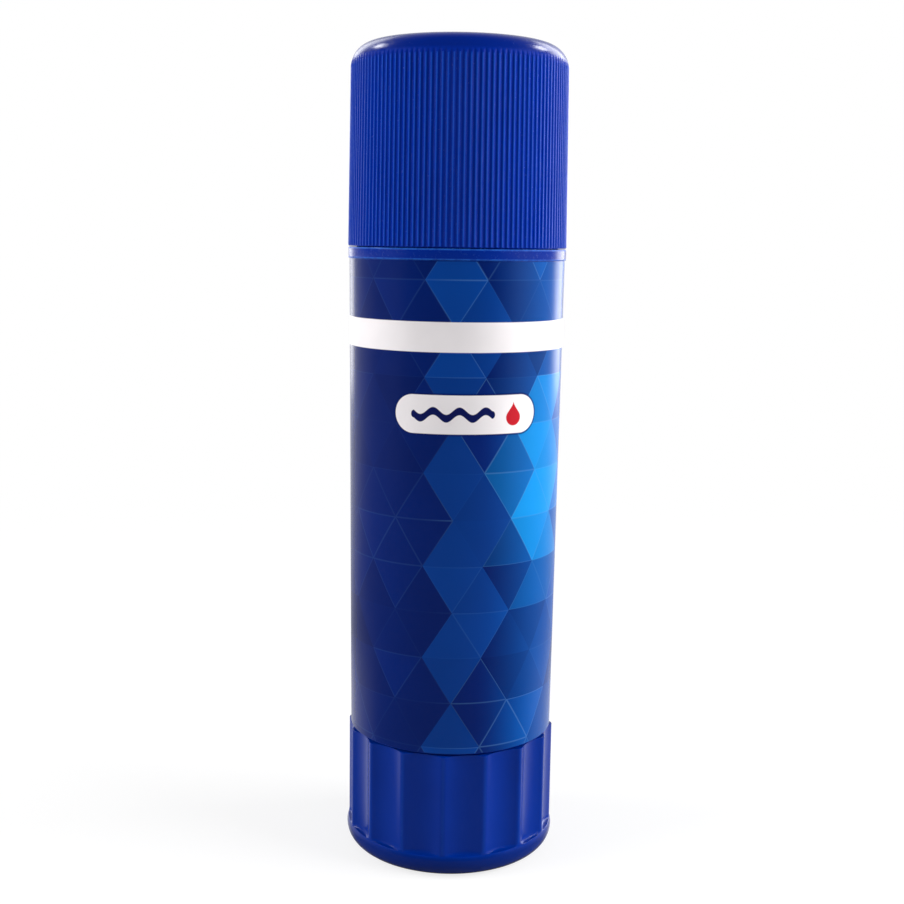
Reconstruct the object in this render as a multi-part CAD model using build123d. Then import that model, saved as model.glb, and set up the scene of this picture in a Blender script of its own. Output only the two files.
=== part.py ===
from build123d import *
from math import atan, cos, degrees, pi, sin
import os

# Twist-up glue stick, upright on its base, with the origin under its axis on the table

# Outside, from which all round pieces take their size
stick_radius = 15.05          # over the ridges of the turning base and at the top of the barrel

# Fits and gaps
overrun = 1.0                 # how far a cutting tool runs past what it cuts
turning_gap = 0.15            # round pieces that turn or slide on each other
seat_gap = 0.1                # cap above the collar
base_gap = 0.3                # barrel above the turning base
groove_gap = 0.2              # above and below a bead in its groove
press_gap = 0.03              # screw foot in its hub
mouth_rounding = 0.3          # moulded edges of the neck and of the snap ring

# Turning base
base_height = 17.95
base_rim_step = 0.17          # how far the rim stands out of the ridges
base_rim_height = 3.4         # ledge at the foot of the flutes
base_rim_slope = 0.6          # height of its sloping upper edge
base_rim_rounding = 0.8
base_bottom_rounding = 2.6
base_floor_thickness = 2.0
base_foot_width = 2.2         # flat ring that it stands on
base_recess_depth = 0.8
flute_count = 16
flute_depth = 0.85
flute_ridge_width = 0.5       # what is left of the outside between two flutes
flute_ridge_turn = -93.3      # degrees from +X to a ridge, the front is at -90
hub_wall = 1.5                # round the hexagon socket, at its flats
hub_rise = 1.05               # hub above the top of the base
web_count = 6
web_thickness = 1.2
web_drop = 4.15               # webs below the top of the base
snap_ring_wall = 1.2
snap_ring_height = 5.4        # above the top of the base
snap_bead_height = 0.5        # how far the bead stands out of the ring
snap_bead_width = 1.2
snap_bead_level = 3.3         # above the top of the base

# Feed screw, left-handed
screw_crest_radius = 3.2
screw_core_radius = 2.3
screw_lead = 4.0
screw_crest_width = 0.9
screw_flank_width = 0.8
screw_flange_radius = 6.0
screw_flange_thickness = 1.4
screw_foot_width = 5.6        # across the flats of the hexagon
screw_foot_length = 12.0
screw_tip_length = 2.6
screw_tip_rounding = 0.8
screw_below_mouth = 8.25      # tip below the mouth of the barrel

# Carrier
carrier_gap = 0.25            # in the bore of the barrel
carrier_wall = 1.0
carrier_floor_thickness = 1.4
carrier_cup_depth = 8.0
carrier_lip_width = 0.4       # inward bead that holds the glue
carrier_lip_height = 0.9
carrier_sleeve_wall = 1.6
carrier_sleeve_above = 4.0    # threaded sleeve above the floor
carrier_rest_gap = 0.2        # above the flange of the screw
carrier_ring_gap = 0.7        # floor above the snap ring
carrier_thread_gap = 0.25
carrier_port_count = 8        # holes in the floor that the glue keys into
carrier_port_radius = 1.1
notch_gap = 0.25              # round each guide rib

# Barrel
barrel_height = 69.0          # from its lower edge to the top of the collar
barrel_taper = 0.43           # how much smaller the radius is at the lower edge
barrel_wall = 1.62            # round the bore, at the lower edge
barrel_socket_step = 0.4      # how much wider than the bore the socket is, which turns on the snap ring
barrel_shoulder_gap = 0.4     # above the snap ring
collar_step = 0.22            # how far the collar stands out of the barrel
collar_height = 1.53
collar_rounding = 0.2
neck_height = 11.0
neck_wall = 0.95
neck_bead_height = 0.2
neck_bead_width = 1.0
neck_bead_level = 4.6         # above the collar
guide_rib_count = 4
guide_rib_width = 1.0
guide_rib_height = 0.6
guide_rib_start = 1.0         # above the shoulder
guide_rib_stop = 3.0          # below the mouth

# Label
label_thickness = 0.12
label_margin = 0.1            # bare barrel above and below it

# Cap
cap_height = 27.45
cap_step = 0.26               # how far its lower edge stands out of the barrel, over the ribs
cap_taper = 0.34              # how much smaller the radius is at the top
cap_shoulder_rounding = 3.36
cap_crown_thickness = 1.4
cap_wall = 1.2                # at the top, above the neck
cap_edge_rounding = 0.25
cap_rim_gap = 0.3             # above the mouth of the neck, where the inside starts to narrow
cap_snap_gap = 0.1            # round the bead of the neck where the cap slides over it
cap_bead_groove = 0.2         # depth of the groove that takes the neck's bead
cap_rib_count = 128
cap_groove_width = 0.5
cap_groove_depth = 0.17

# Glue
glue_gap = 0.3                # in the bore of the barrel
glue_below_mouth = 5.0
glue_edge_rounding = 0.9
glue_bore_gap = 0.4           # round the crest of the screw
glue_over_screw = 1.0         # above the tip of the screw

# Levels that several pieces share
base_top = base_height
ring_top = base_top + snap_ring_height
barrel_bottom = base_top + base_gap
shoulder_level = ring_top + barrel_shoulder_gap
collar_top = barrel_bottom + barrel_height
collar_bottom = collar_top - collar_height
mouth_level = collar_top + neck_height
cap_bottom = collar_top + seat_gap
cap_top = cap_bottom + cap_height
hub_top = base_top + hub_rise
flange_top = hub_top + screw_flange_thickness
screw_top = mouth_level - screw_below_mouth
thread_top = screw_top - screw_tip_length
carrier_floor_level = ring_top + carrier_ring_gap
carrier_rim_level = carrier_floor_level + carrier_floor_thickness + carrier_cup_depth
glue_top = mouth_level - glue_below_mouth

# Radii that several pieces share
barrel_bottom_radius = stick_radius - barrel_taper
bore_radius = barrel_bottom_radius - barrel_wall
socket_radius = bore_radius + barrel_socket_step
neck_radius = bore_radius + neck_wall
neck_bead_radius = neck_radius + neck_bead_height
ring_radius = socket_radius - turning_gap
ring_bore_radius = ring_radius - snap_ring_wall
carrier_radius = bore_radius - carrier_gap
cup_bore_radius = carrier_radius - carrier_wall
sleeve_radius = screw_crest_radius + carrier_thread_gap + carrier_sleeve_wall
glue_radius = bore_radius - glue_gap
rib_tip_radius = bore_radius - guide_rib_height


def turned(corners):
    """Solid of revolution about Z. Each corner is a radius, a height and a rounding."""
    points = [(radius, height) for radius, height, rounding in corners]
    roundings = [rounding for radius, height, rounding in corners]
    outline = FilletPolyline(*points, radius=roundings, close=True)
    return revolve(Plane.XZ * make_face(outline), Axis.Z)


def upright(section, low, high):
    """A flat section carried straight up from one level to another."""
    return Pos(0, 0, low) * extrude(section, high - low)


def around(count, first=0):
    """Places at even turns about Z, with X pointing outwards."""
    return [Rot(0, 0, first + 360 * place / count) for place in range(count)]


def thread_section(core, crest, crest_width, flank_width):
    """Cut across a one-start screw: a cam with the core's arc, two flanks and the crest's arc."""
    crest_angle = pi * crest_width / screw_lead
    core_angle = crest_angle + 2 * pi * flank_width / screw_lead
    middle_angle = (crest_angle + core_angle) / 2
    middle = (core + crest) / 2

    def at(radius, angle):
        return (radius * cos(angle), radius * sin(angle))

    crest_arc = ThreePointArc(at(crest, -crest_angle), at(crest, 0), at(crest, crest_angle))
    falling = ThreePointArc(at(crest, crest_angle), at(middle, middle_angle), at(core, core_angle))
    core_arc = ThreePointArc(at(core, core_angle), at(core, pi), at(core, -core_angle))
    rising = ThreePointArc(at(core, -core_angle), at(middle, -middle_angle), at(crest, -crest_angle))
    return make_face([crest_arc, falling, core_arc, rising]).face()


def twisted(section, low, high):
    """A section that turns once for each lead of the left-hand screw as it rises."""
    turn = -360 * (high - low) / screw_lead
    start = -360 * low / screw_lead
    rise = Vector(0, 0, high - low)
    thread = Solid.extrude_linear_with_rotation(section, Vector(0, 0, 0), rise, turn)
    return Pos(0, 0, low) * Rot(0, 0, start) * thread


def base_knob():
    """Fluted cup with a snap ring on top and a hub with webs inside."""
    bore = ring_bore_radius
    floor = base_recess_depth + base_floor_thickness
    rim_radius = stick_radius + base_rim_step
    foot_bore = rim_radius - base_bottom_rounding - base_foot_width
    bead_low = base_top + snap_bead_level
    bead_high = bead_low + snap_bead_width
    bead_radius = ring_radius + snap_bead_height
    body = turned([
        (0, base_recess_depth, 0),
        (foot_bore, base_recess_depth, 0),
        (foot_bore, 0, 0),
        (rim_radius, 0, base_bottom_rounding),
        (rim_radius, base_rim_height - base_rim_slope, base_rim_rounding),
        (stick_radius, base_rim_height, 0),
        (stick_radius, base_top, 0),
        (ring_radius, base_top, 0),
        (ring_radius, bead_low, 0),
        (bead_radius, bead_low, 0),
        (bead_radius, bead_high - snap_bead_height, 0),
        (ring_radius, bead_high, 0),
        (ring_radius, ring_top, mouth_rounding),
        (bore, ring_top, mouth_rounding),
        (bore, floor, base_floor_thickness),
        (0, floor, 0),
    ])
    valley = stick_radius - flute_depth
    half_angle = pi / flute_count - flute_ridge_width / (2 * stick_radius)
    reach = stick_radius * cos(half_angle)
    flute_radius = (stick_radius**2 + valley**2 - 2 * valley * reach) / (2 * (reach - valley))
    flute = Pos(valley + flute_radius, 0) * Circle(flute_radius)
    flutes = around(flute_count, flute_ridge_turn + 180 / flute_count) * upright(
        flute, base_rim_height, base_top + overrun)
    body -= flutes
    hub_radius = screw_foot_width / 2 + hub_wall + press_gap
    body += upright(Circle(hub_radius), floor, hub_top)
    web_reach = (bore + valley) / 2
    web = Pos(web_reach / 2, 0) * Rectangle(web_reach, web_thickness)
    body += around(web_count) * upright(web, floor - base_floor_thickness / 2, base_top - web_drop)
    socket = RegularPolygon(screw_foot_width / 2 + press_gap, 6, major_radius=False)
    return body - upright(socket, hub_top - screw_foot_length, hub_top + overrun)


def feed_screw():
    """Hexagon foot, flange and a coarse left-hand thread with a plain tip."""
    foot = RegularPolygon(screw_foot_width / 2, 6, major_radius=False)
    screw = upright(foot, hub_top - screw_foot_length, hub_top)
    screw += upright(Circle(screw_flange_radius), hub_top, flange_top)
    section = thread_section(screw_core_radius, screw_crest_radius, screw_crest_width, screw_flank_width)
    screw += twisted(section, flange_top, thread_top)
    tip = turned([
        (0, thread_top, 0),
        (screw_core_radius, thread_top, 0),
        (screw_core_radius, screw_top, screw_tip_rounding),
        (0, screw_top, 0),
    ])
    return screw + tip


def guide_notches(radius, gap, low, high):
    """Prisms that clear the barrel's guide ribs in a round piece of the given radius."""
    depth = radius - rib_tip_radius + gap
    middle = radius + overrun / 2 - depth / 2
    notch = Pos(middle, 0) * Rectangle(depth + overrun, guide_rib_width + 2 * gap)
    return around(guide_rib_count) * upright(notch, low, high)


def carrier():
    """Cup that holds the glue, with the threaded sleeve that climbs the screw."""
    floor_low = carrier_floor_level
    floor_top = floor_low + carrier_floor_thickness
    sleeve_bottom = flange_top + carrier_rest_gap
    sleeve_top = floor_top + carrier_sleeve_above
    lip_radius = cup_bore_radius - carrier_lip_width
    lip_bottom = carrier_rim_level - carrier_lip_height
    body = turned([
        (0, floor_low, 0),
        (carrier_radius, floor_low, 0),
        (carrier_radius, carrier_rim_level, 0),
        (lip_radius, carrier_rim_level, 0),
        (lip_radius, lip_bottom, 0),
        (cup_bore_radius, lip_bottom - carrier_lip_width, 0),
        (cup_bore_radius, floor_top, 0),
        (0, floor_top, 0),
    ])
    body += upright(Circle(sleeve_radius), sleeve_bottom, sleeve_top)
    body -= guide_notches(carrier_radius, notch_gap, floor_low - overrun, carrier_rim_level + overrun)
    port_circle = (sleeve_radius + cup_bore_radius) / 2
    port = Pos(port_circle, 0) * Circle(carrier_port_radius)
    body -= around(carrier_port_count, 180 / carrier_port_count) * upright(
        port, floor_low - overrun, floor_top + overrun)
    gap = carrier_thread_gap
    section = thread_section(
        screw_core_radius + gap, screw_crest_radius + gap, screw_crest_width + 2 * gap, screw_flank_width)
    return body - twisted(section, sleeve_bottom - overrun, sleeve_top + overrun)


def glue(cup):
    """Charge cast on the carrier, closed above the tip of the screw."""
    charge = turned([
        (0, carrier_floor_level, 0),
        (glue_radius, carrier_floor_level, 0),
        (glue_radius, glue_top, glue_edge_rounding),
        (0, glue_top, 0),
    ])
    wall = Circle(glue_radius + overrun) - Circle(cup_bore_radius)
    charge -= upright(wall, carrier_floor_level - overrun, carrier_rim_level)
    charge -= cup
    bore = Circle(screw_crest_radius + glue_bore_gap)
    charge -= upright(bore, carrier_floor_level - overrun, screw_top + glue_over_screw)
    return charge - guide_notches(glue_radius, notch_gap, carrier_rim_level - overrun, glue_top + overrun)


def barrel():
    """Tapered tube with a collar, a neck for the cap, guide ribs and a socket for the base."""
    bead_low = base_top + snap_bead_level - groove_gap
    bead_high = base_top + snap_bead_level + snap_bead_width + groove_gap
    groove_radius = ring_radius + snap_bead_height + turning_gap
    collar_radius = stick_radius + collar_step
    ridge_low = collar_top + neck_bead_level
    ridge_high = ridge_low + neck_bead_width
    tube = turned([
        (socket_radius, barrel_bottom, 0),
        (barrel_bottom_radius, barrel_bottom, 0),
        (stick_radius, collar_bottom, 0),
        (collar_radius, collar_bottom, 0),
        (collar_radius, collar_top, collar_rounding),
        (neck_radius, collar_top, mouth_rounding),
        (neck_radius, ridge_low, 0),
        (neck_bead_radius, ridge_low + neck_bead_height, 0),
        (neck_bead_radius, ridge_high - neck_bead_height, 0),
        (neck_radius, ridge_high, 0),
        (neck_radius, mouth_level, mouth_rounding),
        (bore_radius, mouth_level, mouth_rounding),
        (bore_radius, shoulder_level, 0),
        (socket_radius, shoulder_level, 0),
        (socket_radius, bead_high, 0),
        (groove_radius, bead_high - snap_bead_height, 0),
        (groove_radius, bead_low, 0),
        (socket_radius, bead_low, 0),
    ])
    rib_root_radius = bore_radius + neck_wall / 2
    rib_middle = (rib_tip_radius + rib_root_radius) / 2
    rib = Pos(rib_middle, 0) * Rectangle(rib_root_radius - rib_tip_radius, guide_rib_width)
    tube += around(guide_rib_count) * upright(
        rib, shoulder_level + guide_rib_start, mouth_level - guide_rib_stop)
    return tube


def label():
    """Film wrapped round the barrel from the collar to the lower edge."""
    low = barrel_bottom + label_margin
    high = collar_bottom - label_margin
    slope = barrel_taper / (collar_bottom - barrel_bottom)
    low_radius = barrel_bottom_radius + slope * (low - barrel_bottom)
    high_radius = barrel_bottom_radius + slope * (high - barrel_bottom)
    return turned([
        (low_radius, low, 0),
        (low_radius + label_thickness, low, 0),
        (high_radius + label_thickness, high, 0),
        (high_radius, high, 0),
    ])


def cap():
    """Closed cap that steps in over the neck, with fine upright ribs that run out in the shoulder."""
    low_radius = stick_radius + cap_step
    high_radius = low_radius - cap_taper
    head_radius = high_radius - cap_wall
    land = neck_bead_radius + cap_snap_gap
    groove_radius = land + cap_bead_groove
    groove_low = collar_top + neck_bead_level - groove_gap
    groove_high = collar_top + neck_bead_level + neck_bead_width + groove_gap
    fit_radius = neck_radius + turning_gap
    narrowing_level = mouth_level + cap_rim_gap
    crown = cap_top - cap_crown_thickness
    shell = turned([
        (land + cap_edge_rounding, cap_bottom, 0),
        (low_radius, cap_bottom, cap_edge_rounding),
        (high_radius, cap_top, cap_shoulder_rounding),
        (0, cap_top, 0),
        (0, crown, 0),
        (head_radius, crown, cap_shoulder_rounding - cap_crown_thickness),
        (fit_radius, narrowing_level, 0),
        (fit_radius, groove_high, 0),
        (groove_radius, groove_high - cap_bead_groove, 0),
        (groove_radius, groove_low, 0),
        (land, groove_low - cap_bead_groove, 0),
        (land, cap_bottom + cap_edge_rounding, 0),
    ])
    draft = degrees(atan(cap_taper / cap_height))
    half_width = cap_groove_width / 2
    groove_section = make_face(Polyline(
        (-cap_groove_depth, 0), (0, half_width), (overrun, half_width),
        (overrun, -half_width), (0, -half_width), close=True))
    groove = upright(groove_section, -overrun, cap_height)
    leaning = Pos(low_radius, 0, cap_bottom) * Rot(0, -draft, 0) * groove
    return shell - around(cap_rib_count, 180 / cap_rib_count) * leaning


carrier_piece = carrier()
pieces = {
    "base_knob": base_knob(),
    "feed_screw": feed_screw(),
    "carrier": carrier_piece,
    "glue": glue(carrier_piece),
    "barrel": barrel(),
    "label": label(),
    "cap": cap(),
}
os.makedirs("parts", exist_ok=True)
for name, piece in pieces.items():
    export_step(piece, f"parts/{name}.step")
    print(name, f"{piece.volume:.1f} cubic mm")
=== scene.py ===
from math import cos, pi, radians, sin
import bpy
import numpy as np
from mathutils import Matrix, Vector


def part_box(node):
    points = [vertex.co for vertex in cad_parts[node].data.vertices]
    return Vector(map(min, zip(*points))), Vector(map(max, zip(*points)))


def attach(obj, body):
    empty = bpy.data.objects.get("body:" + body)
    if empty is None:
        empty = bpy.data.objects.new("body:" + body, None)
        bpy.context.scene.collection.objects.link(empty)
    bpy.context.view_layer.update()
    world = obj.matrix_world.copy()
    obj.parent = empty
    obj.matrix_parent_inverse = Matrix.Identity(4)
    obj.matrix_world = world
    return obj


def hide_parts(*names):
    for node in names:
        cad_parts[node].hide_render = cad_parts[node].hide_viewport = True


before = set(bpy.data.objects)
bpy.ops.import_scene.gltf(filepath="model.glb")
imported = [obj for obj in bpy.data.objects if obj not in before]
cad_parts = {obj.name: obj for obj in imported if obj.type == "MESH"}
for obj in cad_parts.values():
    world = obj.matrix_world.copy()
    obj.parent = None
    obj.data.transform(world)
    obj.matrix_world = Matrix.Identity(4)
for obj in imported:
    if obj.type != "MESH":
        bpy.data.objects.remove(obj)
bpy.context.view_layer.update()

mm = 0.001
sharpAngle = 34  # degrees: an edge that turns by more stays crisp
quarterTurns = [turn * pi / 2 for turn in range(4)]

# Shared shape work. Places are in millimetres, and angle 0 is the front of the stick, with the right positive


def softCorners(corners, steps=7):
    # Each corner is a radius, a height and a rounding. A rounded one turns into an arc that touches both its
    # sides: the arc's centre lies rounding / sin(half the corner) away along the bisector
    points = []
    for place, (radius, height, rounding) in enumerate(corners):
        here = np.array((radius, height), float)
        if not rounding:
            points.append(here)
            continue
        before = np.array(corners[place - 1][:2]) - here
        after = np.array(corners[(place + 1) % len(corners)][:2]) - here
        before, after = before / np.linalg.norm(before), after / np.linalg.norm(after)
        half = np.arccos(np.clip(before @ after, -1, 1)) / 2
        bisector = (before + after) / np.linalg.norm(before + after)
        centre = here + bisector * rounding / np.sin(half)
        start = here + before * rounding / np.tan(half) - centre
        stop = here + after * rounding / np.tan(half) - centre
        sweep = pi - 2 * half
        share = np.linspace(0, 1, steps)[:, None]
        arc = np.sin((1 - share) * sweep) * start + np.sin(share * sweep) * stop
        points.extend(centre + arc / np.sin(sweep))
    return np.array(points)


def ringPoints(radii, heights, angles):
    # x = radius sin(angle), y = -radius cos(angle), z = height, for every row of the profile and every angle
    radii = np.broadcast_to(radii, (len(heights), len(angles)))
    tall = np.broadcast_to(heights[:, None], radii.shape)
    return np.stack((radii * np.sin(angles), -radii * np.cos(angles), tall), axis=-1)


def pointNumbers(grid):
    return np.arange(grid.shape[0] * grid.shape[1]).reshape(grid.shape[:2])


def gridFaces(index, wrapRows, wrapColumns):
    # Each face joins a point with its neighbours in the next row and the next column
    if wrapRows:
        index = np.vstack((index, index[:1]))
    if wrapColumns:
        index = np.hstack((index, index[:, :1]))
    return np.stack((index[:-1, :-1], index[:-1, 1:], index[1:, 1:], index[1:, :-1]), axis=-1).reshape(-1, 4)


def outwardFaces(points, quads, *fans):
    # Six times the volume is the sum of first . (second x third + third x fourth) over the quads. Where it is
    # below zero they point inwards, and every face is turned round
    first, second, third, fourth = (points[quads[:, side]] for side in range(4))
    volume = np.einsum("ij,ij->", first, np.cross(second, third) + np.cross(third, fourth))
    order = 1 if volume > 0 else -1
    return [face for faces in (quads, *fans) for face in faces[:, ::order].tolist()]


def turnedGrid(grid):
    # Rows run round the axis. The first and last rows lie on the axis and become one point each, closed by fans
    rows, columns = grid.shape[:2]
    points = np.vstack((grid[0, :1], grid[1:-1].reshape(-1, 3), grid[-1, :1]))
    index = np.arange(1, len(points) - 1).reshape(rows - 2, columns)
    following = np.roll(index, -1, axis=1)
    startFan = np.stack((np.zeros(columns, int), following[0], index[0]), axis=-1)
    stopFan = np.stack((np.full(columns, len(points) - 1), index[-1], following[-1]), axis=-1)
    return points, outwardFaces(points, gridFaces(index, False, True), startFan, stopFan)


def addPiece(name, points, faces, body, replaced, slotName, material):
    mesh = bpy.data.meshes.new(name)
    mesh.from_pydata((points * mm).tolist(), [], faces)
    mesh.shade_smooth()
    mesh.set_sharp_from_angle(angle=radians(sharpAngle))
    mesh.materials.append(material)
    mesh.validate()
    piece = bpy.data.objects.new(name, mesh)
    bpy.context.scene.collection.objects.link(piece)
    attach(piece, body)
    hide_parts(replaced)
    print("made", name, len(points), "points")
    return piece


def evenAngles(count):
    return np.arange(count) * 2 * pi / count


def anglesWith(count, places, halfWidth, wallStretch=1.04):
    # Even turns, and two close angles at each side of every rib or notch so that its walls stand upright
    edges = [place + side * halfWidth * stretch
             for place in places for side in (-1, 1) for stretch in (1, wallStretch)]
    return np.unique(np.round(np.concatenate((evenAngles(count), np.mod(edges, 2 * pi))), 9))


def nearPlace(angles, places, halfWidth, slack=1.0001):
    # True where an angle is within halfWidth of one of the places, measured round the circle
    apart = np.abs(np.mod(angles[:, None] - np.array(places)[None, :] + pi, 2 * pi) - pi)
    return (apart <= halfWidth * slack).any(axis=1)


# Shared material work


def addNode(tree, kind, inputs=None, **settings):
    node = tree.nodes.new(kind)
    for key, value in settings.items():
        setattr(node, key, value)
    for key, value in (inputs or {}).items():
        if isinstance(value, bpy.types.NodeSocket):
            tree.links.new(value, node.inputs[key])
        else:
            node.inputs[key].default_value = value
    return node


def calc(tree, operation, *values):
    return addNode(tree, "ShaderNodeMath", dict(enumerate(values)), operation=operation).outputs[0]


def lengthOf(tree, first, second):
    # The square root of first first + second second
    squares = [calc(tree, "MULTIPLY", value, value) for value in (first, second)]
    return calc(tree, "SQRT", calc(tree, "ADD", *squares))


def soften(tree, value, low, high, start=0.0, stop=1.0):
    # From start to stop, even at both ends, as the value goes from low to high
    names = {"Value": value, "From Min": low, "From Max": high, "To Min": start, "To Max": stop}
    return addNode(tree, "ShaderNodeMapRange", names, interpolation_type="SMOOTHSTEP").outputs[0]


def mixColours(tree, share, first, second):
    return addNode(tree, "ShaderNodeMix", {0: share, 6: first, 7: second}, data_type="RGBA").outputs[2]


def noise(tree, place, scale, detail=2.0, roughness=0.5):
    names = {"Vector": place, "Scale": scale, "Detail": detail, "Roughness": roughness}
    return addNode(tree, "ShaderNodeTexNoise", names).outputs["Fac"]


def stretched(tree, place, factors):
    return addNode(tree, "ShaderNodeMapping", {"Vector": place, "Scale": factors}).outputs[0]


def splitPlace(tree, place):
    return addNode(tree, "ShaderNodeSeparateXYZ", {0: place}).outputs


def fromScreen(red, green, blue):
    # Screen colour from 0 to 255, turned into the light value that the shader takes
    shares = np.array((red, green, blue)) / 255
    light = np.where(shares <= 0.04045, shares / 12.92, ((shares + 0.055) / 1.055) ** 2.4)
    return (*light.tolist(), 1.0)


def newMaterial(name, **settings):
    material = bpy.data.materials.new(name)
    material.use_nodes = True
    shader = material.node_tree.nodes["Principled BSDF"]
    for key, value in settings.items():
        shader.inputs[key.replace("_", " ")].default_value = value
    return material, material.node_tree, shader


def millimetres(tree):
    place = addNode(tree, "ShaderNodeTexCoord").outputs["Object"]
    return addNode(tree, "ShaderNodeVectorMath", {0: place, 1: (1 / mm,) * 3}, operation="MULTIPLY").outputs[0]


def addBump(tree, shader, heights, distance):
    # The bump stands out by the distance in millimetres where the heights are 1
    bump = addNode(tree, "ShaderNodeBump", {"Height": heights, "Distance": distance * mm, "Strength": 1.0})
    tree.links.new(bump.outputs[0], shader.inputs["Normal"])


# Blue moulded plastic of the cap, the barrel and the base. Colours are screen colours, and scales are per
# millimetre. The pale colour is partly wear and partly painted highlight: crest and scuff are its shares on ribs and
# in scuffs, edge is its share in painted highlight lines on edges, and one more share gives painted shade on the
# smooth parts

plasticLook = {
    "cap": {"colour": (0, 41, 150), "paleWearAndHighlight": (2, 96, 222), "crest": 0.5, "scuff": 0.1, "roughness": 0.22,
            "paintedShade": 0.3, "edge": 0.0},
    "barrel": {"colour": (0, 40, 140), "paleWearAndHighlight": (40, 110, 214), "crest": 0.0, "scuff": 0.03, "roughness": 0.24,
               "paintedShade": 0.0, "edge": 0.6},
    "base": {"colour": (0, 43, 138), "paleWearAndHighlight": (30, 92, 190), "crest": 0.12, "scuff": 0.1, "roughness": 0.19,
             "paintedShade": 0.3, "edge": 0.0},
}
plasticSurface = {
    "specular": 0.18, "blotchScale": 0.09, "blotchShade": 0.1, "speckleScale": 2.4, "speckleGloss": (-0.03, 0.06),
    "scuffScale": 1.1, "scuffStretch": (1.0, 1.0, 0.22), "wornGloss": 0.35,
    "crestReach": (-0.06, 0.02), "fade": 0.6, "highlightReach": (0.08, 0.2), "highlightDepth": (-0.3, -0.15),
    "skinScale": 1.3, "skinShare": 0.35, "grainScale": 9.0, "grainShare": 0.015,
    "scratchScale": 1.6, "scratchStretch": (0.5, 0.5, 7.0), "scratchDepth": -0.018, "relief": 0.008,
    # shade is a random darker tone, and the next colour is the painted shade of the smooth parts
    "shade": (0.0, 0.0, 0.05, 1.0), "paintedShadeColour": (0.0, 0.0, 0.01, 1.0),
}


def bluePlastic(name, look, wearAndHighlightRadius, taper, lowHeight, ribbed=(-1.0, 200.0), edges=()):
    # The body colour drifts a little, and painted shade darkens it on the smooth parts below and above the ribbed
    # heights. What stands out furthest is paler and duller, partly from wear and partly as a painted highlight, and
    # the edges at the stated heights are paler and duller as painted highlight lines
    surface = plasticSurface
    material, tree, shader = newMaterial(name, IOR=1.49, Specular_IOR_Level=surface["specular"])
    place = millimetres(tree)
    across, inwards, height = splitPlace(tree, place)
    radius = lengthOf(tree, across, inwards)
    lean = calc(tree, "MULTIPLY", calc(tree, "SUBTRACT", height, lowHeight), taper)
    standing = calc(tree, "ADD", radius, lean)
    # Crests: partly wear and partly a painted highlight on every rib
    crest = calc(tree, "MULTIPLY", soften(tree, standing, *(wearAndHighlightRadius + step for step in surface["crestReach"])),
                 soften(tree, height, ribbed[0], ribbed[0] + surface["fade"]))
    scuffs = noise(tree, stretched(tree, place, surface["scuffStretch"]), surface["scuffScale"], 4.0, 0.7)
    wearAndHighlightShare = calc(tree, "MULTIPLY", crest,
                  soften(tree, scuffs, 0.5, 0.8, look["crest"], look["crest"] + look["scuff"]))

    colour = fromScreen(*look["colour"])
    blotches = soften(tree, noise(tree, place, surface["blotchScale"], 3.0), 0.3, 0.7)
    dark = mixColours(tree, surface["blotchShade"], colour, surface["shade"])
    body = mixColours(tree, blotches, dark, colour)
    # Painted shade: the smooth parts below and above the ribbed heights are mixed towards a dark blue
    smooth = calc(tree, "MAXIMUM", soften(tree, height, ribbed[0] - 0.5, ribbed[0], 1.0, 0.0),
                  soften(tree, height, ribbed[1], ribbed[1] + surface["fade"]))
    body = mixColours(tree, calc(tree, "MULTIPLY", smooth, look["paintedShade"]), body, surface["paintedShadeColour"])
    # Painted highlight: a pale line along each stated edge height, broken by the scuffs
    for edge in edges:
        away = calc(tree, "ABSOLUTE", calc(tree, "SUBTRACT", height, edge))
        line = calc(tree, "MULTIPLY", soften(tree, away, *surface["highlightReach"], look["edge"], 0.0),
                    soften(tree, standing, *(wearAndHighlightRadius + step for step in surface["highlightDepth"])))
        broken = calc(tree, "MULTIPLY", line, soften(tree, scuffs, 0.35, 0.6, 0.4, 1.0))
        wearAndHighlightShare = calc(tree, "MAXIMUM", wearAndHighlightShare, broken)
    body = mixColours(tree, wearAndHighlightShare, body, fromScreen(*look["paleWearAndHighlight"]))
    tree.links.new(body, shader.inputs["Base Color"])

    speckle = noise(tree, place, surface["speckleScale"], 3.0, 0.6)
    gloss = calc(tree, "ADD", soften(tree, speckle, 0.35, 0.75, *surface["speckleGloss"]), look["roughness"])
    gloss = calc(tree, "ADD", gloss, calc(tree, "MULTIPLY", wearAndHighlightShare, surface["wornGloss"]))
    tree.links.new(gloss, shader.inputs["Roughness"])
    skin = calc(tree, "MULTIPLY", noise(tree, place, surface["skinScale"], 2.0), surface["skinShare"])
    grain = calc(tree, "MULTIPLY", noise(tree, place, surface["grainScale"], 2.0), surface["grainShare"])
    scratches = noise(tree, stretched(tree, place, surface["scratchStretch"]), surface["scratchScale"], 3.0, 0.65)
    heights = calc(tree, "ADD", calc(tree, "ADD", skin, grain),
                   soften(tree, scratches, 0.66, 0.74, 0.0, surface["scratchDepth"]))
    addBump(tree, shader, heights, surface["relief"])
    return material


# Cap: a closed cup with fine upright ribs. Inside are its mouth, a groove for the neck's bead, and the bore

capShape = {
    "ribs": 128, "samplesPerRib": 8, "ribDepth": 0.17, "outsideFrom": 14.6,
    "topRadius": 14.97, "bottomRadius": 15.31, "shoulder": 3.36, "edge": 0.25, "ribsStop": 0.75,
    "gateRadius": 1.3, "gateDepth": 0.16, "gateSlope": 0.3, "gateFlat": 3,
    "mouth": 14.5, "mouthBore": 14.25, "mouthBevel": 0.25,
    "groove": 14.45, "grooveHeights": (4.1, 4.3, 5.5, 5.7),
    "bore": 14.1, "boreTop": 11.2, "crownBore": 13.77, "crownThick": 1.4, "crownRounding": 1.96, "crownFlat": 6,
}


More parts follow.
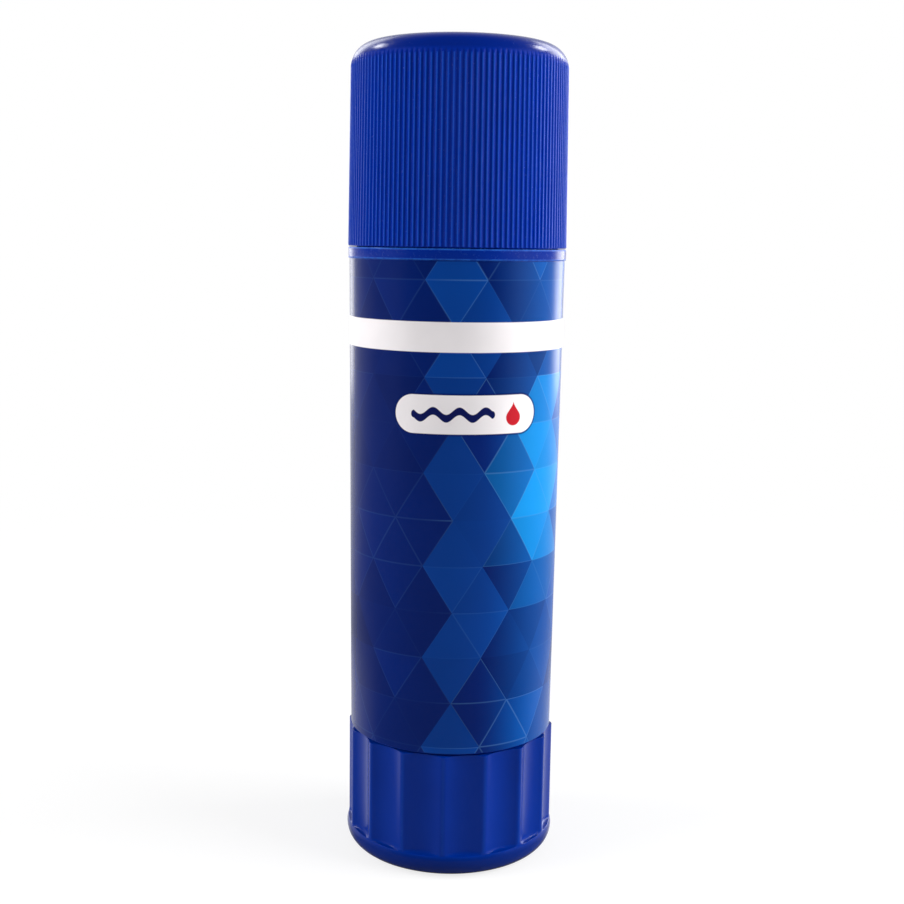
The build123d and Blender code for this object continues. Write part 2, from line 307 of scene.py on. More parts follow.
def makeCap():
    low, high = (corner.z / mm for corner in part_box("cap"))
    shape = capShape
    gateFloor, crown = high - shape["gateDepth"], high - shape["crownThick"]
    groove = [low + height for height in shape["grooveHeights"]]
    profile = softCorners([
        (0, gateFloor, 0), (shape["gateRadius"] - shape["gateSlope"], gateFloor, 0),
        (shape["gateRadius"], high, 0), (shape["gateRadius"] + shape["gateFlat"], high, 0),
        (shape["topRadius"], high, shape["shoulder"]), (shape["bottomRadius"], low, shape["edge"]),
        (shape["mouth"], low, 0), (shape["mouthBore"], low + shape["mouthBevel"], 0),
        (shape["mouthBore"], groove[0], 0), (shape["groove"], groove[1], 0), (shape["groove"], groove[2], 0),
        (shape["bore"], groove[3], 0), (shape["bore"], low + shape["boreTop"], 0),
        (shape["crownBore"], crown, shape["crownRounding"]), (shape["crownFlat"], crown, 0), (0, crown, 0),
    ], steps=26)
    angles = evenAngles(shape["ribs"] * shape["samplesPerRib"])
    radii, heights = profile[:, :1], profile[:, 1]
    # Wall line less a cosine valley once a rib, cut off by the shoulder where the shoulder is further in
    narrowing = shape["bottomRadius"] - shape["topRadius"]
    wall = shape["bottomRadius"] - narrowing * (heights[:, None] - low) / (high - low)
    valley = 0.5 - 0.5 * np.cos(angles * shape["ribs"])
    ribbed = np.minimum(radii, wall - shape["ribDepth"] * valley[None, :])
    radii = np.where(radii > shape["outsideFrom"], ribbed, radii)
    grid = ringPoints(radii, heights, angles)
    # Above the ribbed heights the crown takes painted shade
    ribbedHeights = (low - 1, high - shape["ribsStop"] * shape["shoulder"])
    material = bluePlastic("capPlastic", plasticLook["cap"], shape["bottomRadius"],
                           narrowing / (high - low), low, ribbedHeights)
    return addPiece("RibbedCap", *turnedGrid(grid), "cap", "cap", "cap_plastic", material)


# Barrel: tapered tube, collar, neck with its snap bead, four guide ribs in the bore, and the base's socket

barrelShape = {
    "bottomRadius": 14.62, "topRadius": 15.05, "columns": 256,
    "collarRadius": 15.27, "collarHeight": 1.53, "collarRounding": 0.2, "collarFoot": 0.12,
    "neckRadius": 13.95, "neckHeight": 11.0, "mouthRounding": 0.3,
    "beadRadius": 14.15, "beadStart": 4.6, "beadHeights": (0.3, 0.7, 1.0), "beadRounding": 0.12,
    "bore": 13.0, "ribWidth": 1.0, "ribHeight": 0.6, "ribBelowMouth": 3.0, "ribAboveFoot": 6.5, "ribEnd": 0.02,
    "socket": 13.4, "socketDepth": 5.5, "snapGroove": 13.9, "snapHeights": (4.4, 3.9, 2.8),
    "highlightHeights": (0.06, -0.08),
}


def makeBarrel():
    low, high = (corner.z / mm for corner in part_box("barrel"))
    shape = barrelShape
    collarTop = high - shape["neckHeight"]
    collarLow = collarTop - shape["collarHeight"]
    beadLow = collarTop + shape["beadStart"]
    neck, bore, soft = shape["neckRadius"], shape["bore"], shape["mouthRounding"]
    bead, beadSoft, beadSteps = shape["beadRadius"], shape["beadRounding"], shape["beadHeights"]
    socket, snapGroove = shape["socket"], shape["snapGroove"]
    snap = [low + height for height in shape["snapHeights"]]
    ribTop, ribFoot = high - shape["ribBelowMouth"], low + shape["ribAboveFoot"]
    profile = softCorners([
        (socket, low, 0), (shape["bottomRadius"], low, 0), (shape["topRadius"], collarLow, 0),
        (shape["collarRadius"], collarLow, shape["collarFoot"]),
        (shape["collarRadius"], collarTop, shape["collarRounding"]),
        (neck, collarTop, soft), (neck, beadLow, 0), (bead, beadLow + beadSteps[0], beadSoft),
        (bead, beadLow + beadSteps[1], beadSoft), (neck, beadLow + beadSteps[2], 0),
        (neck, high, soft), (bore, high, soft), (bore, ribTop, 0), (bore, ribTop - shape["ribEnd"], 0),
        (bore, ribFoot + shape["ribEnd"], 0), (bore, ribFoot, 0), (bore, low + shape["socketDepth"], 0),
        (socket, low + shape["socketDepth"], 0), (socket, snap[0], 0), (snapGroove, snap[1], 0),
        (snapGroove, snap[2], 0), (socket, snap[2], 0),
    ])
    halfWidth = shape["ribWidth"] / 2 / bore
    angles = anglesWith(shape["columns"], quarterTurns, halfWidth)
    radii, heights = profile[:, :1], profile[:, 1]
    # The bore's radius less the rib's height, near each quarter turn and between the two ends of the ribs
    halfEnd = shape["ribEnd"] / 2
    ribRows = (np.abs(radii[:, 0] - bore) < 1e-6) & (heights < ribTop - halfEnd) & (heights > ribFoot + halfEnd)
    inRib = ribRows[:, None] & nearPlace(angles, quarterTurns, halfWidth)[None, :]
    radii = np.where(inRib, bore - shape["ribHeight"], radii)
    grid = ringPoints(radii, heights, angles)
    points = grid.reshape(-1, 3)
    faces = outwardFaces(points, gridFaces(pointNumbers(grid), True, True))
    # Painted highlight lines along the collar's lower and upper edges
    paleWearAndHighlight = (collarLow + shape["highlightHeights"][0], collarTop + shape["highlightHeights"][1])
    material = bluePlastic("barrelPlastic", plasticLook["barrel"], shape["collarRadius"], 0.0, 0.0, edges=paleWearAndHighlight)
    return addPiece("BarrelTube", points, faces, "barrel", "barrel", "barrel_plastic", material)


# Label: a printed film wound once round the barrel, with its end lapped over its start at the back

labelShape = {
    "film": 0.045, "clearance": 0.015, "rows": 12, "columns": 400,
    "start": -172.0, "overlap": 24.0, "lap": 0.05, "lapBefore": 5, "lapLength": 4.5,
}
labelPrint = {
    "navy": (2, 34, 112), "deep": (2, 24, 88), "blue": (6, 66, 152), "bright": (6, 108, 204), "cyan": (14, 156, 236),
    "paleLine": (96, 152, 208), "white": (245, 240, 242), "navyInk": (12, 22, 84), "redInk": (196, 28, 42),
    "blur": 0.05, "specular": 0.12, "relief": 0.01,
    "facetWidth": 8.2, "facetHeight": 6.4, "slantWidth": 0.83, "lineReach": (0.03, 0.16), "lineShare": 0.24,
    "lineLeft": (-5.0, 2.0, 0.25), "lineBack": (18.0, 34.0, 0.35),
    "columnMiddle": 1.1, "columnHalf": 3.6, "columnWander": 2.6,
    "riseStart": 3.0, "riseEnd": 15.0, "riseBack": (21.0, 36.0),
    "glowMiddle": 14.5, "glowReach": 6.5, "glowHeight": 56.5, "glowTall": 15.0,
    "stripeLow": 73.74, "stripeHigh": 77.72,
    "pillMiddle": (1.75, 65.5), "pillHalf": (10.0, 2.6), "pillRim": (0.16, 0.34), "pillRimShare": 0.75,
    "waveMiddle": -2.0, "waveHalf": 5.25, "waveLength": 3.5, "waveHeight": 0.5, "waveThick": 0.42, "waveFlatten": 0.8,
    "dropMiddle": 6.4, "dropLow": 0.45, "dropRadius": 1.1, "dropTall": 2.2,
}


def tint(tree, share, ground, colourName):
    return mixColours(tree, share, ground, fromScreen(*labelPrint[colourName]))


def within(tree, value, edge):
    # 1 below the edge and 0 above it, with the blur of the print
    return soften(tree, value, edge - labelPrint["blur"], edge + labelPrint["blur"], 1.0, 0.0)


def randomTone(tree, first, second, third):
    place = addNode(tree, "ShaderNodeCombineXYZ", {0: first, 1: second, 2: third}).outputs[0]
    return addNode(tree, "ShaderNodeTexWhiteNoise", {"Vector": place}, noise_dimensions="3D").outputs["Value"]


def facetGround(tree, across, height):
    # Triangles: three sets of parallel lines, and the whole numbers between them name each triangle
    look = labelPrint
    level = calc(tree, "DIVIDE", height, look["facetHeight"])
    skew = calc(tree, "DIVIDE", across, look["facetWidth"])
    halfLevel = calc(tree, "MULTIPLY", level, 0.5)
    leanRight, leanLeft = calc(tree, "SUBTRACT", skew, halfLevel), calc(tree, "ADD", skew, halfLevel)
    rowId, rightId, leftId = (calc(tree, "FLOOR", value) for value in (level, leanRight, leanLeft))
    pairTone = randomTone(tree, rightId, leftId, 7.0)
    facet = calc(tree, "ADD", calc(tree, "MULTIPLY", randomTone(tree, rowId, rightId, leftId), 0.45),
                 calc(tree, "MULTIPLY", pairTone, 0.55))
    # Middle of each triangle's cell, so that a whole triangle takes one colour
    middleAcross = calc(tree, "MULTIPLY", calc(tree, "ADD", calc(tree, "ADD", rightId, leftId), 1.0),
                        look["facetWidth"] / 2)
    middleHeight = calc(tree, "MULTIPLY", calc(tree, "ADD", rowId, 0.5), look["facetHeight"])

    # Navy at the left and back, a bluer column in front, bluer still to the right, and an azure glow at the right
    ground = mixColours(tree, facet, fromScreen(*look["deep"]), fromScreen(*look["navy"]))
    fromColumn = calc(tree, "ABSOLUTE", calc(tree, "SUBTRACT", middleAcross, look["columnMiddle"]))
    wander = calc(tree, "MULTIPLY", calc(tree, "SUBTRACT", pairTone, 0.5), look["columnWander"])
    inColumn = calc(tree, "LESS_THAN", calc(tree, "ADD", fromColumn, wander), look["columnHalf"])
    columnShare = calc(tree, "MULTIPLY", inColumn, soften(tree, facet, 0.0, 1.0, 0.55, 0.95))
    ground = tint(tree, columnShare, ground, "blue")
    bluer = calc(tree, "MULTIPLY", soften(tree, across, look["riseStart"], look["riseEnd"]),
                 soften(tree, across, *look["riseBack"], 1.0, 0.0))
    brightShare = calc(tree, "MULTIPLY", bluer, calc(tree, "ADD", calc(tree, "MULTIPLY", facet, 0.45), 0.2))
    ground = tint(tree, brightShare, ground, "bright")
    beside = calc(tree, "DIVIDE", calc(tree, "SUBTRACT", middleAcross, look["glowMiddle"]), look["glowReach"])
    above = calc(tree, "DIVIDE", calc(tree, "SUBTRACT", middleHeight, look["glowHeight"]), look["glowTall"])
    glow = soften(tree, lengthOf(tree, beside, above), 0.3, 1.3, 1.0, 0.0)
    ground = tint(tree, calc(tree, "MULTIPLY", glow, soften(tree, facet, 0.1, 0.8, 0.25, 0.95)), ground, "cyan")

    # Fine pale lines on the joints, fainter at the left and the back
    slant = look["facetWidth"] * look["slantWidth"]
    lines = [calc(tree, "MULTIPLY", calc(tree, "PINGPONG", value, 0.5), width)
             for value, width in ((level, look["facetHeight"]), (leanRight, slant), (leanLeft, slant))]
    nearest = calc(tree, "MINIMUM", calc(tree, "MINIMUM", lines[0], lines[1]), lines[2])
    share = calc(tree, "MULTIPLY", soften(tree, nearest, *look["lineReach"], 1.0, 0.0),
                 soften(tree, facet, 0.3, 0.8, 0.0, look["lineShare"]))
    share = calc(tree, "MULTIPLY", share, soften(tree, across, *look["lineLeft"], 1.0))
    start, stop, faint = look["lineBack"]
    share = calc(tree, "MULTIPLY", share, soften(tree, across, start, stop, 1.0, faint))
    return tint(tree, share, ground, "paleLine")


def waveAndDrop(tree, ink, sideways, upwards):
    # A wavy line of paste, round at both ends: the distance from a sine line that is cut off at its two ends
    look = labelPrint
    run = calc(tree, "SUBTRACT", sideways, look["waveMiddle"])
    past = calc(tree, "MAXIMUM", calc(tree, "SUBTRACT", calc(tree, "ABSOLUTE", run), look["waveHalf"]), 0.0)
    kept = calc(tree, "MAXIMUM", calc(tree, "MINIMUM", run, look["waveHalf"]), -look["waveHalf"])
    turned = calc(tree, "SINE", calc(tree, "MULTIPLY", kept, 2 * pi / look["waveLength"]))
    swing = calc(tree, "MULTIPLY", turned, look["waveHeight"])
    off = calc(tree, "MULTIPLY", calc(tree, "SUBTRACT", upwards, swing), look["waveFlatten"])
    ink = tint(tree, within(tree, lengthOf(tree, past, off), look["waveThick"]), ink, "navyInk")

    # A red drop: a disc, with a point on top whose width shrinks smoothly to nothing
    aside = calc(tree, "SUBTRACT", sideways, look["dropMiddle"])
    up = calc(tree, "ADD", upwards, look["dropLow"])
    width = calc(tree, "MULTIPLY", soften(tree, up, 0.0, look["dropTall"], 1.0, 0.0), look["dropRadius"])
    inBelly = within(tree, lengthOf(tree, aside, up), look["dropRadius"])
    inPoint = calc(tree, "MULTIPLY", calc(tree, "LESS_THAN", calc(tree, "ABSOLUTE", aside), width),
                   calc(tree, "GREATER_THAN", up, 0.0))
    drop = calc(tree, "MULTIPLY", calc(tree, "MAXIMUM", inBelly, inPoint),
                calc(tree, "LESS_THAN", up, look["dropTall"]))
    return tint(tree, drop, ink, "redInk")


def labelFilm():
    # Printed plastic film under a clear gloss. The attribute labelPlace holds millimetres round the stick
    # from the front and millimetres above the table
    look = labelPrint
    material, tree, shader = newMaterial("labelFilm", IOR=1.5, Specular_IOR_Level=look["specular"])
    place = addNode(tree, "ShaderNodeAttribute", attribute_name="labelPlace").outputs["Vector"]
    across, height, _ = splitPlace(tree, place)
    ground = facetGround(tree, across, height)

    # White stripe, and a white pill with a dark rim. The pill is measured from its middle line, which is a
    # straight run between the centres of its round ends
    stripe = calc(tree, "MULTIPLY",
                  soften(tree, height, look["stripeLow"] - look["blur"], look["stripeLow"] + look["blur"]),
                  within(tree, height, look["stripeHigh"]))
    halfLong, halfTall = look["pillHalf"]
    sideways = calc(tree, "SUBTRACT", across, look["pillMiddle"][0])
    upwards = calc(tree, "SUBTRACT", height, look["pillMiddle"][1])
    beyond = calc(tree, "MAXIMUM",
                  calc(tree, "SUBTRACT", calc(tree, "ABSOLUTE", sideways), halfLong - halfTall), 0.0)
    away = lengthOf(tree, beyond, upwards)
    rim = soften(tree, away, *(halfTall + step for step in look["pillRim"]), 1.0, 0.0)
    ground = tint(tree, calc(tree, "MULTIPLY", rim, look["pillRimShare"]), ground, "deep")
    white = calc(tree, "MAXIMUM", stripe, within(tree, away, halfTall))
    ink = waveAndDrop(tree, tint(tree, white, ground, "white"), sideways, upwards)

    fade = soften(tree, noise(tree, place, 0.12, 2.0), 0.35, 0.7, 0.0, 0.05)
    tree.links.new(mixColours(tree, fade, ink, (0.0, 0.0, 0.02, 1.0)), shader.inputs["Base Color"])
    speckle = noise(tree, place, 3.0, 3.0)
    tree.links.new(soften(tree, speckle, 0.3, 0.75, 0.23, 0.27), shader.inputs["Roughness"])
    ripple = calc(tree, "MULTIPLY", noise(tree, stretched(tree, place, (0.35, 0.12, 1.0)), 1.0, 2.0), 1.4)
    heights = calc(tree, "ADD", ripple, calc(tree, "MULTIPLY", noise(tree, place, 5.0), 0.006))
    printed = calc(tree, "MULTIPLY", white, 0.12)
    addBump(tree, shader, calc(tree, "ADD", heights, printed), look["relief"])
    return material


def makeLabel():
    low, high = (corner.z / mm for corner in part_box("label"))
    shape, rows = labelShape, labelShape["rows"]
    barrelLow, barrelHigh = (corner.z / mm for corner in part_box("barrel"))
    collarLow = barrelHigh - barrelShape["neckHeight"] - barrelShape["collarHeight"]
    slope = (barrelShape["topRadius"] - barrelShape["bottomRadius"]) / (collarLow - barrelLow)
    start = radians(shape["start"])
    stop = start + 2 * pi + radians(shape["overlap"])
    angles = np.linspace(start, stop, shape["columns"])
    # The film lies on the barrel, and steps up smoothly by one film just before it meets its own start
    rise = np.clip((angles - (start + 2 * pi) + radians(shape["lapBefore"])) / radians(shape["lapLength"]), 0, 1)
    lift = shape["clearance"] + shape["lap"] * rise * rise * (3 - 2 * rise)
    heights = np.concatenate((np.linspace(low, high, rows), np.linspace(high, low, rows)))
    outside = np.concatenate((np.ones(rows), np.zeros(rows)))
    base = barrelShape["bottomRadius"] + slope * (heights - barrelLow)
    radii = base[:, None] + lift[None, :] + (outside * shape["film"])[:, None]
    grid = ringPoints(radii, heights, angles)
    index = pointNumbers(grid)
    # Closed along its section, open along its winding, and shut by strips of faces at its two ends
    side = np.arange(rows - 1)
    opposite = 2 * rows - 1 - side
    ends = [np.stack((index[side, column], index[side + 1, column],
                      index[opposite - 1, column], index[opposite, column]), axis=-1)[:, ::direction]
            for column, direction in ((0, 1), (-1, -1))]
    points = grid.reshape(-1, 3)
    faces = outwardFaces(points, np.vstack((gridFaces(index, True, False), *ends)))
    piece = addPiece("LabelFilm", points, faces, "barrel", "label", "label_film", labelFilm())
    middleRadius = (barrelShape["bottomRadius"] + barrelShape["topRadius"]) / 2
    around = np.broadcast_to(angles * middleRadius, grid.shape[:2])
    tall = np.broadcast_to(heights[:, None], grid.shape[:2])
    places = np.stack((around, tall, np.zeros(grid.shape[:2])), axis=-1).reshape(-1, 3)
    attribute = piece.data.attributes.new("labelPlace", "FLOAT_VECTOR", "POINT")
    attribute.data.foreach_set("vector", places.astype(np.float32).ravel())
    return piece


# Turning base: scalloped flutes over a plain rounded rim. It is hollow below, and inside are the snap ring, the
# floor and the hub of the feed screw

baseShape = {
    "flutes": 16, "samplesPerFlute": 24, "fluteDepth": 0.85, "ridgeWidth": 0.5, "ridgeTurn": -3.3,
    "ridgeRadius": 15.05, "rimRadius": 15.22, "rimHeight": 3.4, "rimSlope": 0.6, "height": 17.95,
    "bottomRounding": 2.6, "rimRounding": 0.8, "ridgeRounding": 0.1, "ledge": 0.9,
    "rootRounding": 0.45, "rootSteps": 6, "ridgeSoftness": 0.07,
    "lip": ((0.0, 0.25), (0.0, 0.12), (0.05, 0.03), (0.15, 0.0)), "lipCut": 0.1,
    "hollow": 0.8, "hollowFlat": 3, "hollowBevel": 0.1, "footRadius": 10.42, "footBevel": 0.12,
    "ring": 13.25, "ringBore": 12.05, "ringRounding": 0.3, "bead": 13.75, "beadHeights": (3.3, 4.0, 4.5),
    "floor": 2.8, "floorRounding": 2.0, "hub": 4.33, "hubHeight": 19, "hubBore": 3.28, "hubFloor": 7,
}


def makeBase():
    low, high = (corner.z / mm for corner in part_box("base_knob"))
    shape = baseShape
    top, ridge, rim = low + shape["height"], shape["ridgeRadius"], low + shape["rimHeight"]
    foot, hollow, bevel = shape["footRadius"], low + shape["hollow"], shape["hollowBevel"]
    below = softCorners([
        (0, hollow, 0), (shape["hollowFlat"], hollow, 0), (foot - bevel, hollow, 0), (foot, hollow - bevel, 0),
        (foot, low + shape["footBevel"], 0), (foot + shape["footBevel"], low, 0),
        (shape["rimRadius"], low, shape["bottomRounding"]),
        (shape["rimRadius"], rim - shape["rimSlope"], shape["rimRounding"]),
        (ridge, rim, shape["ridgeRounding"]), (ridge - shape["ledge"], rim, 0),
    ], steps=12)[:-1]
    root = np.linspace(0, pi / 2, shape["rootSteps"] + 1)[1:]
    fluted = np.column_stack((np.full(len(root), ridge), rim + shape["rootRounding"] * (1 - np.cos(root))))
    lip = np.array([(ridge - inwards, top - down) for inwards, down in shape["lip"]])
    ring, bead, floor = shape["ring"], shape["bead"], low + shape["floor"]
    beadHeights = [top + height for height in shape["beadHeights"]]
    hubTop, hubFloor = low + shape["hubHeight"], low + shape["hubFloor"]
    inside = softCorners([
        (ring, top, 0), (ring, beadHeights[0], 0), (bead, beadHeights[0], 0), (bead, beadHeights[1], 0),
        (ring, beadHeights[2], 0), (ring, high, shape["ringRounding"]),
        (shape["ringBore"], high, shape["ringRounding"]), (shape["ringBore"], floor, shape["floorRounding"]),
        (shape["hub"], floor, 0), (shape["hub"], hubTop, 0), (shape["hubBore"], hubTop, 0),
        (shape["hubBore"], hubFloor, 0), (0, hubFloor, 0),
    ])
    profile = np.vstack((below, fluted, lip, inside))
    angles = evenAngles(shape["flutes"] * shape["samplesPerFlute"])
    # A flute is a circle outside the base: radius = c cos(a) - sqrt(f f - c c sin(a) sin(a)), with c its centre's
    # distance and f its own radius. The ridge between two is the smooth least of that and the ridge's radius
    valley = ridge - shape["fluteDepth"]
    reach = ridge * cos(pi / shape["flutes"] - shape["ridgeWidth"] / (2 * ridge))
    fluteRadius = (ridge**2 + valley**2 - 2 * valley * reach) / (2 * (reach - valley))
    centre = valley + fluteRadius
    pitch = 2 * pi / shape["flutes"]
    apart = np.mod(angles - radians(shape["ridgeTurn"]), pitch) - pitch / 2
    flute = centre * np.cos(apart) - np.sqrt(fluteRadius**2 - (centre * np.sin(apart)) ** 2)
    lift = np.concatenate((shape["rootRounding"] * (1 - np.sin(root)), np.zeros(len(lip))))
    scalloped = flute[None, :] + lift[:, None]
    flutedRows = slice(len(below), len(below) + len(lift))
    radii = np.repeat(profile[:, :1], len(angles), axis=1)
    plain = radii[flutedRows]
    softened = np.sqrt((plain - scalloped) ** 2 + shape["ridgeSoftness"] ** 2)
    radii[flutedRows] = (plain + scalloped - softened) / 2
    radii[flutedRows.stop - 1] -= shape["lipCut"]
    grid = ringPoints(radii, profile[:, 1], angles)
    # Below the rim height the rim takes painted shade
    material = bluePlastic("basePlastic", plasticLook["base"], ridge, 0.0, 0.0, (rim, high + 1))
    return addPiece("TurningBase", *turnedGrid(grid), "knob", "base_knob", "base_plastic", material)


# Glue: a white waxy charge with a faint dish on top, notches for the guide ribs, and hollows for the carrier's
# cup, its sleeve and the screw. The cup's and the sleeve's heights are above the table, with the carrier down

glueShape = {
    "radius": 12.7, "edge": 0.9, "columns": 224, "notchRadius": 12.15, "notchHalf": 0.75,
    "dish": 0.22, "dishRows": ((0, 1.0), (2, 1.0), (4, 0.9), (7, 0.55), (9.5, 0.15)),
    "flatRadius": 10.8, "flatRounding": 0.5,
    "cupTop": 33.45, "cupGap": 0.1, "cupFloor": 25.5, "cupRadius": 11.7,
    "sleeveRadius": 5.2, "sleeveTop": 29.6, "screwRadius": 3.6, "overScrew": 3.75,
}
glueLook = {
    "colour": (226, 225, 217), "deep": (213, 209, 196), "bleed": (1.0, 0.86, 0.66),
    "cloudScale": 0.35, "dragScale": 1.2, "dragStretch": (0.5, 0.5, 2.6), "relief": 0.05,
}


def gluePaste():
    # Waxy paste: light goes a little way in, the surface is soft and faintly dragged
    look = glueLook
    material, tree, shader = newMaterial(
        "gluePaste", IOR=1.46, Subsurface_Weight=0.35, Subsurface_Scale=0.0018, Subsurface_Radius=look["bleed"],
        Coat_Weight=0.08, Coat_Roughness=0.3)
    place = millimetres(tree)
    cloud = soften(tree, noise(tree, place, look["cloudScale"], 3.0), 0.3, 0.75)
    colour = mixColours(tree, cloud, fromScreen(*look["colour"]), fromScreen(*look["deep"]))
    tree.links.new(colour, shader.inputs["Base Color"])
    drag = noise(tree, stretched(tree, place, look["dragStretch"]), look["dragScale"], 3.0, 0.6)
    tree.links.new(soften(tree, drag, 0.3, 0.7, 0.42, 0.6), shader.inputs["Roughness"])
    heights = calc(tree, "ADD", drag, calc(tree, "MULTIPLY", noise(tree, place, 4.0), 0.3))
    addBump(tree, shader, heights, look["relief"])
    return material


def makeGlue():
    low, high = (corner.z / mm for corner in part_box("glue"))
    shape = glueShape
    cupTop, overScrew = shape["cupTop"] + shape["cupGap"], high - shape["overScrew"]
    profile = softCorners([
        *((radius, high - shape["dish"] * depth, 0) for radius, depth in shape["dishRows"]),
        (shape["flatRadius"], high, shape["flatRounding"]), (shape["radius"], high, shape["edge"]),
        (shape["radius"], cupTop, 0), (shape["cupRadius"], cupTop, 0), (shape["cupRadius"], shape["cupFloor"], 0),
        (shape["sleeveRadius"], shape["cupFloor"], 0), (shape["sleeveRadius"], shape["sleeveTop"], 0),
        (shape["screwRadius"], shape["sleeveTop"], 0), (shape["screwRadius"], overScrew, 0), (0, overScrew, 0),
    ], steps=9)
    halfWidth = shape["notchHalf"] / shape["radius"]
    angles = anglesWith(shape["columns"], quarterTurns, halfWidth)
    radii, heights = profile[:, :1], profile[:, 1]
    # Radius no more than the notch's floor near each quarter turn
    notched = nearPlace(angles, quarterTurns, halfWidth)[None, :]
    radii = np.where(notched & (radii > shape["notchRadius"]), shape["notchRadius"], radii)
    grid = ringPoints(radii, heights, angles)
    return addPiece("GlueCharge", *turnedGrid(grid), "carrier", "glue", "glue_paste", gluePaste())


# Inner moulding: feed screw and carrier keep their solid shapes and get their finish here

innerLook = {"colour": (236, 237, 233), "shade": (214, 217, 214), "cloudScale": 0.5, "relief": 0.02}


def finishInnerParts():
    look = innerLook
    material, tree, shader = newMaterial("innerPlastic", IOR=1.5, Subsurface_Weight=0.12, Subsurface_Scale=0.0012)
    place = millimetres(tree)
    cloud = soften(tree, noise(tree, place, look["cloudScale"], 3.0), 0.3, 0.7)
    colour = mixColours(tree, cloud, fromScreen(*look["colour"]), fromScreen(*look["shade"]))
    tree.links.new(colour, shader.inputs["Base Color"])
    tree.links.new(soften(tree, noise(tree, place, 2.0), 0.3, 0.7, 0.4, 0.55), shader.inputs["Roughness"])
    addBump(tree, shader, noise(tree, place, 3.0, 3.0), look["relief"])
    for name in ("feed_screw", "carrier"):
        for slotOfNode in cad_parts[name].material_slots:
            slotOfNode.material = material
    print("finished the inner parts")


# Studio: a pale floor and a dim room that is white behind the stick. Two soft side lights give the light, and two
# tall strips and two small high panels behind the stick give only the highlights on the plastic

studio = {
    "floorSize": 6.0, "floorColour": (0.3, 0.3, 0.3, 1.0), "paper": (0.28, 0.28, 0.28, 1.0), "floorGlow": 0.75,
    "whiteFrom": (0.04, 0.3), "mirrorBehind": (-0.02, 0.3), "mirrorBeside": (-0.3, 0.25), "mirrorNear": (0.06, 0.14),
    "aim": (0.0, 0.0, 0.06), "room": 0.33, "roomFade": (0.1, 0.95), "front": 0.03, "behind": 0.9,
}
lamps = {
    "rightLight": {"place": (0.56, -0.1, 0.26), "size": (0.5, 0.5), "power": 5.7, "mirrored": False},
    "leftLight": {"place": (-0.56, -0.11, 0.26), "size": (0.46, 0.5), "power": 3.8, "mirrored": False},
    "rightStrip": {"place": (0.37, 0.43, 0.2), "size": (0.26, 0.7), "power": 2.8, "mirrored": True},
    "leftStrip": {"place": (-0.28, 0.48, 0.2), "size": (0.18, 0.7), "power": 1.1, "mirrored": True},
    "rightHigh": {"place": (0.42, 0.24, 0.5), "size": (0.12, 0.1), "power": 0.9, "mirrored": True},
    "leftHigh": {"place": (-0.42, 0.24, 0.5), "size": (0.14, 0.08), "power": 0.8, "mirrored": True},
}
plainWhite = (1, 1, 1, 1)


def plainGlow(tree, kind, strength):
    return addNode(tree, kind, {"Color": plainWhite, "Strength": strength}).outputs[0]


def mixShaders(tree, share, first, second):
    return addNode(tree, "ShaderNodeMixShader", {0: share, 1: first, 2: second}).outputs[0]


def lightPaths(tree):
    # Whether a ray comes from the camera, and whether from a mirroring or a clear surface
    paths = addNode(tree, "ShaderNodeLightPath").outputs
    return paths["Is Camera Ray"], calc(tree, "MAXIMUM", paths["Is Glossy Ray"], paths["Is Transmission Ray"])


def makeFloor():
    half = studio["floorSize"] / 2
    mesh = bpy.data.meshes.new("Floor")
    mesh.from_pydata([(-half, -half, 0), (half, -half, 0), (half, half, 0), (-half, half, 0)], [], [(0, 1, 2, 3)])
    floor = bpy.data.objects.new("Floor", mesh)
    bpy.context.scene.collection.objects.link(floor)
    material, tree, shader = newMaterial("floorPaper", Roughness=0.9, Base_Color=studio["floorColour"])
    fromCamera, mirrored = lightPaths(tree)
    place = addNode(tree, "ShaderNodeTexCoord").outputs["Object"]
    _, back, _ = splitPlace(tree, place)
    distance = addNode(tree, "ShaderNodeVectorMath", {0: place}, operation="LENGTH").outputs["Value"]
    # In what mirrors it the paper is white behind the stick, and close beside it too
    beside = calc(tree, "MULTIPLY", soften(tree, calc(tree, "DIVIDE", back, distance), *studio["mirrorBeside"]),
                  soften(tree, distance, *studio["mirrorNear"], 1.0, 0.0))
    behind = calc(tree, "MAXIMUM", soften(tree, back, *studio["mirrorBehind"]), beside)
    seen = calc(tree, "MAXIMUM", fromCamera, calc(tree, "MULTIPLY", mirrored, behind))
    # Near the stick the paper keeps the shadow, and further off it is plain white
    paper = addNode(tree, "ShaderNodeBsdfDiffuse", {"Color": studio["paper"]}).outputs[0]
    glow = plainGlow(tree, "ShaderNodeEmission", studio["floorGlow"])
    near = addNode(tree, "ShaderNodeAddShader", {0: paper, 1: glow}).outputs[0]
    white = plainGlow(tree, "ShaderNodeEmission", 1.0)
    shown = mixShaders(tree, soften(tree, distance, *studio["whiteFrom"]), near, white)
    mixed = mixShaders(tree, seen, shader.outputs[0], shown)
    tree.links.new(mixed, tree.nodes["Material Output"].inputs["Surface"])
    mesh.materials.append(material)


def addLamp(name, settings):
    light = bpy.data.lights.new(name, "AREA")
    light.shape = "RECTANGLE"
    light.size, light.size_y = settings["size"]
    light.energy = settings["power"]
    lamp = bpy.data.objects.new(name, light)
    lamp.location = settings["place"]
    lamp.rotation_euler = (Vector(studio["aim"]) - lamp.location).to_track_quat("-Z", "Y").to_euler()
    lamp.visible_glossy = settings["mirrored"]
    lamp.visible_diffuse = not settings["mirrored"]
    bpy.context.scene.collection.objects.link(lamp)


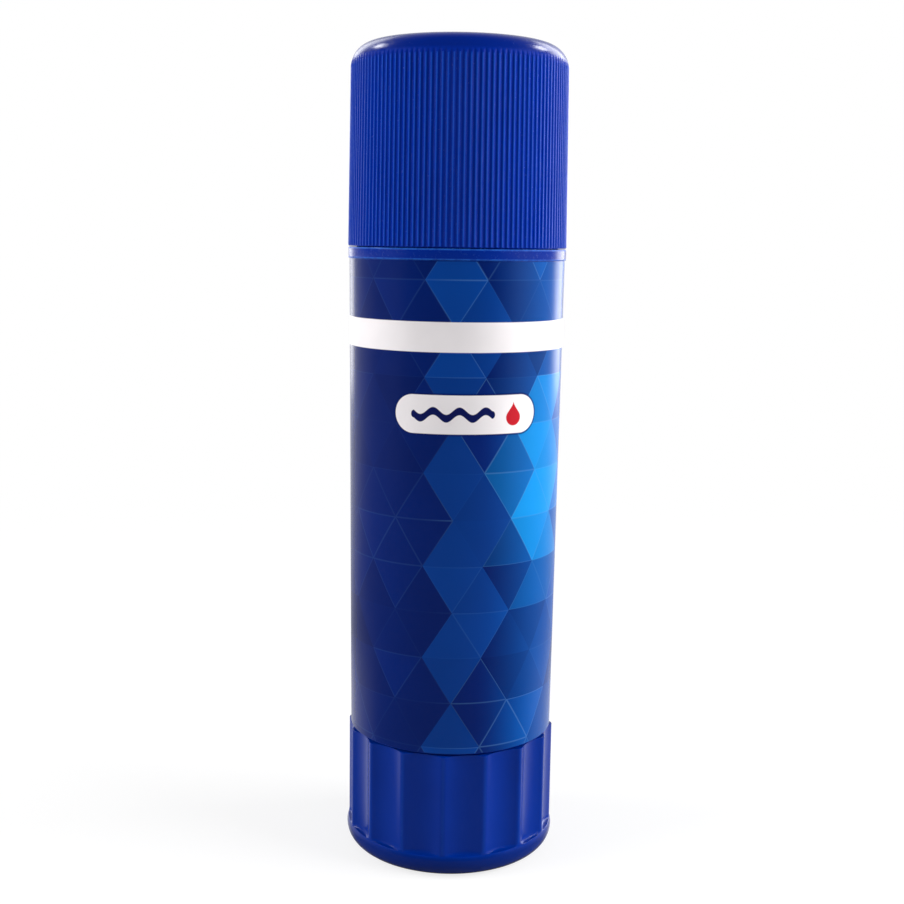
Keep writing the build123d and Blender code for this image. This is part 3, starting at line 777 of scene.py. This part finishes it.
def makeRoom():
    world = bpy.data.worlds.new("Room")
    bpy.context.scene.world = world
    world.use_nodes = True
    tree = world.node_tree
    tree.nodes.clear()
    fromCamera, mirrored = lightPaths(tree)
    _, back, _ = splitPlace(tree, addNode(tree, "ShaderNodeTexCoord").outputs["Generated"])
    # In what mirrors it the room is white behind the stick and dim in front of it, where it is open
    mirroredStrength = soften(tree, back, *studio["roomFade"], studio["front"], studio["behind"])
    kind = "ShaderNodeBackground"
    lit = mixShaders(tree, mirrored, plainGlow(tree, kind, studio["room"]), plainGlow(tree, kind, mirroredStrength))
    shown = mixShaders(tree, fromCamera, lit, plainGlow(tree, kind, 1.0))
    tree.links.new(shown, addNode(tree, "ShaderNodeOutputWorld").inputs["Surface"])


# Camera at the photograph's place: a little above the middle, looking down by about 9 degrees

cameraView = {
    "place": (0.0, -0.18934, 0.08833), "down": 0.1579, "turn": -0.0017, "roll": 0.0147,
    "focalPixels": 1330.75, "imagePixels": 904, "sensor": 36.0, "clip": (0.01, 20),
}


def makeCamera():
    view = cameraView
    turn, down, roll = view["turn"], view["down"], view["roll"]
    forward = Vector((sin(turn) * cos(down), cos(turn) * cos(down), -sin(down)))
    level = Vector((cos(turn), -sin(turn), 0))
    raised = level.cross(forward)
    right = cos(roll) * level + sin(roll) * raised
    up = -sin(roll) * level + cos(roll) * raised
    lens = bpy.data.cameras.new("Camera")
    lens.sensor_width = view["sensor"]
    lens.lens = view["focalPixels"] / view["imagePixels"] * view["sensor"]
    lens.clip_start, lens.clip_end = view["clip"]
    camera = bpy.data.objects.new("Camera", lens)
    axes = Matrix((right, up, -forward)).transposed().to_4x4()
    camera.matrix_world = Matrix.Translation(view["place"]) @ axes
    bpy.context.scene.collection.objects.link(camera)
    bpy.context.scene.camera = camera


makeCap()
makeBarrel()
makeLabel()
makeBase()
makeGlue()
finishInnerParts()
makeFloor()
for lampName, lampSettings in lamps.items():
    addLamp(lampName, lampSettings)
makeRoom()
makeCamera()
bpy.context.scene.view_settings.view_transform = "Standard"
print("set the studio")
